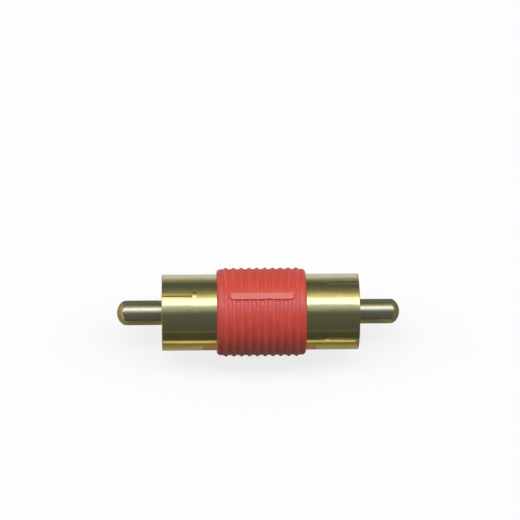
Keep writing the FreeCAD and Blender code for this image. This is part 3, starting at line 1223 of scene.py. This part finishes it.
@dataclass
class Grip:
    """The soft moulding: ribs round it, a raised bar along it and the gate's mark beside the bar.

    Attributes:
        end_ease: radius of the edges of both ends.
        rib_count: number of ribs.
        rib_margin: end of the grip to the middle of the first rib.
        rib_width: width of a rib at its foot.
        rib_height: height of a rib.
        rib_tip: rounding of its top.
        rib_root: rounding at its foot.
        bar_margin: end of the grip to the bar.
        bar_width: width of the bar at its foot.
        bar_corner: radius of the bar's corners, seen from above.
        bar_draft: lean of its sides, in degrees.
        bar_ease: rounding of its top edge.
        bar_root: rounding at its foot.
        scars: bites in the bar's sides, the one at the gate first.
        flash: place along, place across and radius of each small lump of flash.
        flash_rise: height of a lump as a share of its radius.
        shell_gap: gap between the grip and what it is moulded over.
        key: the groove in the shells that the grip locks into.
        steps: spacing of the rows at the ribs, of those at the bar's ends, and the least one.
        end_rows: where the rows at a bar's end start and stop, from that end inwards.
        gate_rows: how far to both sides of the gate the dense rows go.
        column_step: spacing of the columns across the bar.
        column_reach: how far from the bar's middle that spacing goes.
        plain_columns: columns round the rest of the grip, with the ends of the dense ones.
        span: its two ends along X, from the frame.
        bar_top: height of the bar above the axis, from the frame.
        radius: radius between the ribs, from the frame.
    """

    end_ease: float = 0.45
    rib_count: int = 10
    rib_margin: float = 1.185
    rib_width: float = 0.62
    rib_height: float = 0.2
    rib_tip: float = 0.16
    rib_root: float = 0.10
    bar_margin: float = 1.65
    bar_width: float = 1.08
    bar_corner: float = 0.4
    bar_draft: float = 14.0
    bar_ease: float = 0.16
    bar_root: float = 0.05
    scars: tuple[Scar, ...] = (Scar(1.26, -1, 0.2, 0.24), Scar(1.36, 1, 0.28, 0.12))
    flash: tuple[Place, ...] = ((0.26, -1.02, 0.13), (1.33, -1.00, 0.12), (1.05, -0.72, 0.10))
    flash_rise: float = 0.9
    shell_gap: float = 0.02
    key: KeyGroove = KeyGroove()
    steps: tuple[float, float, float] = (0.05, 0.025, 0.012)
    end_rows: tuple[float, float] = (-0.1, 0.5)
    gate_rows: float = 0.5
    column_step: float = 0.03
    column_reach: float = 1.3
    plain_columns: int = 140
    span: tuple[float, float] = field(init=False)
    bar_top: float = field(init=False)
    radius: float = field(init=False)

    def __post_init__(self) -> None:
        """Read the grip's place and outer size from the frame."""
        low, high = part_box("grip")
        self.span = (low.x / MM, high.x / MM)
        self.bar_top = high.z / MM
        self.radius = -low.z / MM - self.rib_height

    def ribs(self, x: Grid) -> Grid:
        """Height of the ribs above the grip.

        Args:
            x: places along the axis.

        Returns:
            Heights.
        """
        first = self.span[0] + self.rib_margin
        pitch = (self.span[1] - self.rib_margin - first) / (self.rib_count - 1)
        number = np.clip(np.round((x - first) / pitch), 0, self.rib_count - 1)
        away = np.abs(x - first - pitch * number)
        tip = self.rib_tip
        slope = self.rib_height / (math.hypot(self.rib_width / 2, tip) - tip)
        ridge = self.rib_height - slope * (np.hypot(away, tip) - tip)
        return soft_max(ridge, 0 * ridge, self.rib_root)

    def bar(self, x: Grid, angle: Grid) -> Grid:
        """Height of the bar above the grip, with the gate's mark in its sides.

        Args:
            x: places along the axis.
            angle: angles from +Z towards +Y, in radians.

        Returns:
            Heights, and -1 away from the bar.
        """
        middle = sum(self.span) / 2
        half_length = (self.span[1] - self.span[0]) / 2 - self.bar_margin
        across = self.bar_top * np.sin(angle)
        outside_x = np.abs(x - middle) - half_length + self.bar_corner
        outside_y = np.abs(across) - self.bar_width / 2 + self.bar_corner
        edge = np.hypot(np.clip(outside_x, 0, None), np.clip(outside_y, 0, None))
        edge = edge + np.minimum(np.maximum(outside_x, outside_y), 0) - self.bar_corner
        for scar in self.scars:
            side = scar.way * self.bar_width / 2
            edge = edge + mound(x - scar.x, across - side, scar.radius) * scar.bite
        wall = np.clip(-edge / math.tan(math.radians(self.bar_draft)), -1.0, None)
        top = self.bar_top / np.clip(np.cos(angle), 0.5, None) - self.radius
        return np.where(np.cos(angle) > 0.5, soft_min(wall, top, self.bar_ease), -1.0)

    def lumps(self, x: Grid, angle: Grid) -> Grid:
        """Small lumps of flash beside the gate's mark.

        Args:
            x: places along the axis.
            angle: angles from +Z towards +Y, in radians.

        Returns:
            Heights.
        """
        across = self.bar_top * np.sin(angle)
        height = 0 * across
        for place, beside, size in self.flash:
            height = height + mound(x - place, across - beside, size) * size * self.flash_rise
        return height

    def outer_x(self) -> np.ndarray:
        """Places of the rows on the ribbed outside, dense at the bar's ends and the gate's mark.

        Returns:
            Rising places along the axis.
        """
        even, fine, least = self.steps
        start, stop = (end - way * self.end_ease * 1.55 for end, way in zip(self.span, (-1, 1)))
        left, right = self.span[0] + self.bar_margin, self.span[1] - self.bar_margin
        at_end = np.arange(*self.end_rows, fine)
        gate = self.scars[0].x + np.arange(-self.gate_rows, self.gate_rows, fine)
        places = np.concatenate([np.arange(start, stop, even), left + at_end, right - at_end, gate, [stop]])
        places = np.unique(np.round(places, 4))
        return places[np.append(True, np.diff(places) > least)]

    def angles(self) -> np.ndarray:
        """Angles of the columns, dense across the bar."""
        near = np.arange(-self.column_reach, self.column_reach, self.column_step) / self.bar_top
        rest = np.linspace(near[-1], FULL_TURN + near[0], self.plain_columns)[1:-1]
        return np.concatenate([near, rest])

    def inner_corners(self) -> list[Corner]:
        """The bore: ends over the shells, keys in their grooves, middle on the tube.

        Returns:
            Corners from the right end to the left one.
        """
        bore = node_radius("left_shell") + self.shell_gap
        tube = node_radius("ground_tube") + self.shell_gap
        corners = []
        for side, end in ((Side.RIGHT, self.span[1]), (Side.LEFT, self.span[0])):
            shoulder, out = side.shoulder(), side.value
            near = shoulder + out * (self.key.start + self.shell_gap)
            far = shoulder + out * (self.key.end() - self.shell_gap)
            inside = shoulder - out * self.shell_gap
            half = [
                Corner(end, bore, 0.04),
                Corner(far, bore),
                Corner(far, bore - self.key.depth),
                Corner(near, bore - self.key.depth),
                Corner(near, bore),
                Corner(inside, bore),
                Corner(inside, tube),
            ]
            corners += half if side is Side.RIGHT else half[::-1]
        return corners

    def build(self) -> None:
        """Make the grip."""
        angles = self.angles()
        x = self.outer_x()
        outside = np.meshgrid(x, angles, indexing="ij")
        height = soft_max(self.ribs(outside[0]), self.bar(*outside), self.bar_root) + self.lumps(*outside)
        path = np.array(eased_profile([
            Corner(x[-1], self.radius),
            Corner(self.span[1], self.radius, self.end_ease),
            *self.inner_corners(),
            Corner(self.span[0], self.radius, self.end_ease),
            Corner(x[0], self.radius),
        ], steps=6, closed=False))
        grid = np.concatenate([
            round_the_axis(outside[0], self.radius + height, outside[1]),
            round_the_axis(path[:, :1], path[:, 1:], angles[None, :]),
        ])
        faces = band_faces(len(grid), len(angles), closed=True)
        dress(mesh_piece("ribbed_grip", grid.reshape(-1, 3), faces, sharp_deg=60.0), GRIP_RED, "grip")


# Hidden pieces

@dataclass(frozen=True)
class Core:
    """The pieces inside the grip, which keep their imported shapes.

    Attributes:
        link: finish of the wire between the pins.
        sleeve: finish of the sleeve round it.
        tube: finish of the tube that joins the shells.
    """

    link: Plating = TINNED
    sleeve: Moulding = SLEEVE_GREY
    tube: Plating = TUBE_BRASS

    def build(self) -> None:
        """Dress the pieces."""
        finishes = {"pin_link": self.link, "link_sleeve": self.sleeve, "ground_tube": self.tube}
        for node, finish in finishes.items():
            dress(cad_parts[node], finish)


# Studio

class Tint(Enum):
    """Colour of a part of the studio's light."""

    COOL = (0.81, 1.0, 1.46)
    WHITE = (0.98, 1.0, 1.06)
    WARM = (1.0, 1.0, 0.95)


@dataclass(frozen=True)
class StudioSky:
    """A dim room with one long soft light overhead, and a pale band at the horizon.

    The light's brightness depends on the angle from straight up, in degrees, which
    grows towards +Y, behind the part.

    Attributes:
        top: brightest level.
        levels: angle, level and tint, in order.
        room: level of the room beside the light.
        reach: sideways share of a direction at which the light starts to fade and is gone.
        horizon: level of the pale band.
        band: upward share of a direction at which the pale band starts to fade and is gone.
        glare: the most that the metal gives back of the light, in red, green and blue.
    """

    top: float = 7.0
    levels: tuple[tuple[float, float, Tint], ...] = (
        (-88.0, 0.075, Tint.WARM), (-82.0, 0.13, Tint.WARM), (-77.0, 0.075, Tint.COOL),
        (-58.0, 0.085, Tint.COOL), (-42.0, 0.095, Tint.COOL), (-28.0, 0.10, Tint.COOL),
        (-20.5, 0.15, Tint.COOL), (-14.5, 0.33, Tint.COOL), (-7.0, 0.51, Tint.COOL),
        (-2.5, 0.66, Tint.COOL), (0.8, 1.0, Tint.COOL), (3.2, 5.0, Tint.COOL),
        (5.6, 6.8, Tint.WHITE), (10.6, 5.4, Tint.WARM), (15.6, 3.2, Tint.WARM),
        (20.6, 1.6, Tint.WARM), (25.6, 0.80, Tint.WARM), (32.6, 0.60, Tint.WARM),
        (39.6, 0.30, Tint.WARM), (47.6, 0.16, Tint.WARM), (59.6, 0.10, Tint.COOL),
        (73.6, 0.08, Tint.COOL), (89.0, 0.10, Tint.COOL),
    )
    room: float = 0.085
    reach: tuple[float, float] = (0.80, 0.97)
    horizon: float = 0.9
    band: tuple[float, float] = (0.09, 0.15)
    glare: Colour = (1.45, 1.65, 2.8)

    def build(self) -> None:
        """Light the scene with the sky."""
        world = bpy.data.worlds.new("studio_sky")
        bpy.context.scene.world = world
        world.use_nodes = True
        bench = NodeBench(world.node_tree)
        toward = bench.place_parts("Generated")
        lean = bench.maths("ARCTAN2", toward["Y"], toward["Z"])
        stops = [
            (degrees / 180 + 0.5, tuple(level / self.top * part for part in tint.value))
            for degrees, level, tint in self.levels
        ]
        strip = bench.ramp(bench.maths("MULTIPLY_ADD", lean, 1 / math.pi, 0.5), stops)
        full = bench.vector_maths("SCALE", strip, self.top)
        in_metal = bench.add("LightPath").outputs["Is Glossy Ray"]
        light = bench.blend(in_metal, full, bench.vector_maths("MINIMUM", full, self.glare))
        sideways = bench.spread(bench.maths("ABSOLUTE", toward["X"]), *self.reach)
        room = tuple(self.room * part for part in Tint.COOL.value)
        above = bench.blend(sideways, light, room)
        low = bench.spread(toward["Z"], *self.band, 1.0, 0.0)
        background = bench.add("Background")
        bench.join(bench.blend(low, above, (self.horizon,) * 3), background.inputs["Color"])
        bench.finish(background, "OutputWorld")
        LOG.info("studio_sky: %d levels", len(self.levels))


def flat_sheet(name: str, corners: Corners) -> bpy.types.Object:
    """A flat sheet of the studio.

    Args:
        name: name of the sheet.
        corners: its four corners.

    Returns:
        The sheet, with its texture coordinates along its two sides.
    """
    sheet = mesh_piece(name, np.array(corners), [[0, 1, 2, 3]])
    layer = sheet.data.uv_layers.new(name="sides")
    for loop in sheet.data.loops:
        spot = sheet.data.vertices[loop.vertex_index].co
        nearest = min(range(4), key=lambda n: (Vector(corners[n]) * MM - spot).length)
        layer.data[loop.index].uv = SHEET_SIDES[nearest]
    return sheet


@dataclass(frozen=True)
class PaleFloor:
    """The floor that the coupler lies on.

    Attributes:
        colour: colour that the eye and the metal see.
        bounce: colour of the light that it sends up onto matt pieces.
        share: how much of what is seen is lit by the studio; the rest is plain white.
        half_width: half of each side.
        gap: how far it lies under the lowest rib.
    """

    colour: Colour = (0.98, 0.95, 0.90)
    bounce: Colour = (0.04, 0.06, 0.07)
    share: float = 0.20
    half_width: float = 3000.0
    gap: float = 0.01

    def build(self) -> None:
        """Lay the floor just under the lowest rib."""
        level = CAD_BOX[0].z / MM - self.gap
        reach = self.half_width
        floor = flat_sheet("floor", [
            (-reach, -reach, level), (reach, -reach, level), (reach, reach, level), (-reach, reach, level),
        ])
        material, bench = new_material("pale_floor")
        seen, matt = bench.add("BsdfDiffuse"), bench.add("BsdfDiffuse")
        bench.feed(seen.inputs["Color"], self.colour)
        bench.feed(matt.inputs["Color"], self.bounce)
        half_lit = bench.mixed(1 - self.share, seen, bench.add("Emission"))
        path = bench.add("LightPath")
        looking = bench.maths("MAXIMUM", path.outputs["Is Camera Ray"], path.outputs["Is Glossy Ray"])
        looking = bench.maths("MAXIMUM", looking, path.outputs["Is Transmission Ray"])
        bench.finish(bench.mixed(looking, matt, half_lit))
        floor.data.materials.append(material)


class CardKind(Enum):
    """What a card in the studio does."""

    GLOW = "gives its own soft light back to the metal"
    FILM = "tints what the metal sees through it"


@dataclass(frozen=True)
class ReflectionCard:
    """A card or film round the part, which is seen only in the metal.

    Attributes:
        name: name of the card.
        kind: whether it glows or tints.
        corners: near left, near right, far right and far left corner, as x, y and
            height above the floor.
        stops: place from the near edge (0) to the far one (1), and colour.
    """

    name: str
    kind: CardKind
    corners: Corners
    stops: Stops

    def build(self) -> None:
        """Set the card up."""
        ground = CAD_BOX[0].z / MM
        card = flat_sheet(self.name, [(x, y, ground + height) for x, y, height in self.corners])
        material, bench = new_material(self.name)
        shader = bench.add("Emission" if self.kind is CardKind.GLOW else "BsdfTransparent")
        bench.join(bench.ramp(bench.place_parts("UV")["Y"], self.stops), shader.inputs["Color"])
        bench.finish(shader)
        card.data.materials.append(material)
        for ray in ("camera", "diffuse", "shadow", "transmission", "volume_scatter"):
            setattr(card, f"visible_{ray}", False)
        LOG.info("%s: %s", self.name, self.kind.value)


def standing(y: float, height: float, left: float = -CARD_REACH, right: float = CARD_REACH) -> Corners:
    """Corners of a card that stands along the part, the foot first."""
    return (left, y, 0.0), (right, y, 0.0), (right, y, height), (left, y, height)


def lying(
    near: float, far: float, height: float, left: float = -CARD_REACH, right: float = CARD_REACH
) -> Corners:
    """Corners of a film that lies along the part, the edge by the part first."""
    return (left, near, height), (right, near, height), (right, far, height), (left, far, height)


def beside(near: float, far: float, low: float, high: float, half_width: float = CARD_REACH) -> Corners:
    """Corners of a card past one end of the part, sloping from the edge by the part."""
    return (
        (near, -half_width, low), (near, half_width, low),
        (far, half_width, high), (far, -half_width, high),
    )


# Painted reflection: pink films beside the grip tint what the shells see there, for the red light the grip
# throws off
PAINTED_RED_BOUNCE = ((0.0, (0.98, 0.44, 0.62)), (1.0, (0.98, 0.60, 0.78)))
PIN_BACK = ((0.0, (0.17, 0.165, 0.12)), (1.0, (0.10, 0.10, 0.08)))
PIN_FRONT = ((0.0, (0.20, 0.20, 0.17)), (1.0, (0.12, 0.12, 0.10)))
LEFT_END = (
    (0.0, (0.26, 0.24, 0.21)), (0.10, (0.30, 0.26, 0.20)), (0.28, (0.70, 0.56, 0.32)),
    (0.5, (0.36, 0.30, 0.19)), (1.0, (0.12, 0.12, 0.10)),
)
RIGHT_END = ((0.0, (0.16, 0.15, 0.12)), (0.5, (0.18, 0.16, 0.11)), (1.0, (0.10, 0.10, 0.08)))
CARDS = (
    ReflectionCard("dark_card", CardKind.GLOW, standing(-19.6, 12.4), (
        (0.0, (0.085, 0.085, 0.07)), (0.30, (0.055, 0.058, 0.055)), (0.80, (0.055, 0.06, 0.06)),
        (0.87, (0.12, 0.12, 0.11)), (0.93, (0.11, 0.11, 0.11)), (1.0, (0.075, 0.08, 0.09)),
    )),
    ReflectionCard("front_film", CardKind.FILM, lying(-1.0, -19.6, 0.15), (
        (0.0, (0.26, 0.27, 0.28)), (0.26, (0.36, 0.36, 0.33)), (0.44, (0.33, 0.30, 0.15)),
        (0.56, (0.20, 0.13, 0.04)), (0.66, (0.30, 0.24, 0.10)), (0.76, (0.62, 0.60, 0.45)),
        (0.90, (0.78, 0.76, 0.60)), (1.0, (0.20, 0.20, 0.18)),
    )),
    ReflectionCard("back_film", CardKind.FILM, lying(1.0, 35.0, 0.15), (
        (0.0, (0.30, 0.30, 0.32)), (0.2, (0.60, 0.64, 0.86)), (0.4, (0.62, 0.67, 0.95)),
        (0.8, (0.62, 0.67, 0.95)), (1.0, (0.54, 0.58, 0.84)),
    )),
    ReflectionCard("back_card", CardKind.GLOW, standing(35.0, 16.0), (
        (0.0, (0.50, 0.54, 0.80)), (0.25, (0.40, 0.42, 0.50)), (0.47, (0.28, 0.30, 0.34)),
        (0.66, (0.17, 0.19, 0.22)), (0.84, (0.12, 0.14, 0.18)), (1.0, (0.10, 0.12, 0.15)),
    )),
    ReflectionCard("grip_flag", CardKind.GLOW, standing(8.2, 10.5, -5.3, 6.1), (
        (0.0, (0.42, 0.40, 0.36)), (0.7, (0.30, 0.28, 0.25)), (1.0, (0.12, 0.12, 0.11)),
    )),
    ReflectionCard("grip_sheet", CardKind.GLOW, lying(-5.9, -18.0, 0.25, -5.4, 6.1), (
        (0.0, (0.24, 0.27, 0.27)), (1.0, (0.20, 0.23, 0.25)),
    )),
    # Painted reflection of the grip's red light in the shells
    ReflectionCard("left_painted_red_bounce", CardKind.FILM, lying(-4.5, -9.5, 0.30, -7.15, -5.4), PAINTED_RED_BOUNCE),
    ReflectionCard("right_painted_red_bounce", CardKind.FILM, lying(-4.5, -9.5, 0.30, 6.1, 7.6), PAINTED_RED_BOUNCE),
    ReflectionCard("left_pin_flag", CardKind.GLOW, standing(8.2, 7.5, -60.0, -12.8), PIN_BACK),
    ReflectionCard("right_pin_flag", CardKind.GLOW, standing(8.2, 7.5, 13.2, 60.0), PIN_BACK),
    ReflectionCard("left_pin_sheet", CardKind.GLOW, lying(-1.8, -18.0, 0.25, -17.5, -12.8), PIN_FRONT),
    ReflectionCard("right_pin_sheet", CardKind.GLOW, lying(-1.8, -18.0, 0.25, 13.2, 17.5), PIN_FRONT),
    ReflectionCard("left_end_card", CardKind.GLOW, beside(-18.6, -70.0, 0.2, 40.0), LEFT_END),
    ReflectionCard("right_end_card", CardKind.GLOW, beside(18.6, 70.0, 0.2, 40.0), RIGHT_END),
)


@dataclass(frozen=True)
class Viewpoint:
    """The camera, opposite the left plug and high above the floor.

    Attributes:
        elevation: height above the horizon, in degrees.
        side: place along X.
        distance: distance from the axis.
        aim_x: the place along X that the picture is centred on.
        aim_up: how far up the picture its centre is from the axis.
        tilt: turn of the picture, in degrees.
        width: angle of view, in degrees.
        sensor: width of the sensor.
        clip: nearest and farthest place that it sees, in metres.
    """

    elevation: float = 69.65
    side: float = -8.9
    distance: float = 307.5
    aim_x: float = 0.27
    aim_up: float = 6.707
    tilt: float = -0.423
    width: float = 12.453
    sensor: float = 36.0
    clip: tuple[float, float] = (0.01, 20.0)

    def build(self) -> None:
        """Set the camera up."""
        height = math.radians(self.elevation)
        towards = Vector((0.0, -math.cos(height), math.sin(height)))
        picture_up = Vector((0.0, math.sin(height), math.cos(height)))
        place = (Vector((self.side, 0.0, 0.0)) + towards * self.distance) * MM
        aim = (Vector((self.aim_x, 0.0, 0.0)) + picture_up * self.aim_up) * MM
        ahead = (aim - place).normalized()
        right = ahead.cross(picture_up).normalized()
        up = right.cross(ahead)
        tilt = Matrix.Rotation(math.radians(self.tilt), 3, "Z")
        turn = Matrix((right, up, -ahead)).transposed() @ tilt
        data = bpy.data.cameras.new("camera")
        data.sensor_width = self.sensor
        data.lens = self.sensor / 2 / math.tan(math.radians(self.width) / 2)
        data.clip_start, data.clip_end = self.clip
        camera = bpy.data.objects.new("camera", data)
        camera.matrix_world = Matrix.Translation(place) @ turn.to_4x4()
        bpy.context.scene.collection.objects.link(camera)
        bpy.context.scene.camera = camera


def main() -> None:
    """Build the coupler, then the studio round it."""
    logging.basicConfig(level=logging.INFO, format="%(message)s")
    bpy.context.scene.view_settings.view_transform = "Standard"
    Viewpoint().build()
    PlugShell(Side.LEFT, slit_turn=5.0, dot_height=0.030, slit_width=0.13).build()
    PlugShell(Side.RIGHT, slit_turn=25.0, dot_height=0.016, slit_width=0.10).build()
    for side in Side:
        Bush(side).build()
        CentrePin(side).build()
    Grip().build()
    Core().build()
    PaleFloor().build()
    StudioSky().build()
    for card in CARDS:
        card.build()


if __name__ == "__main__":
    main()
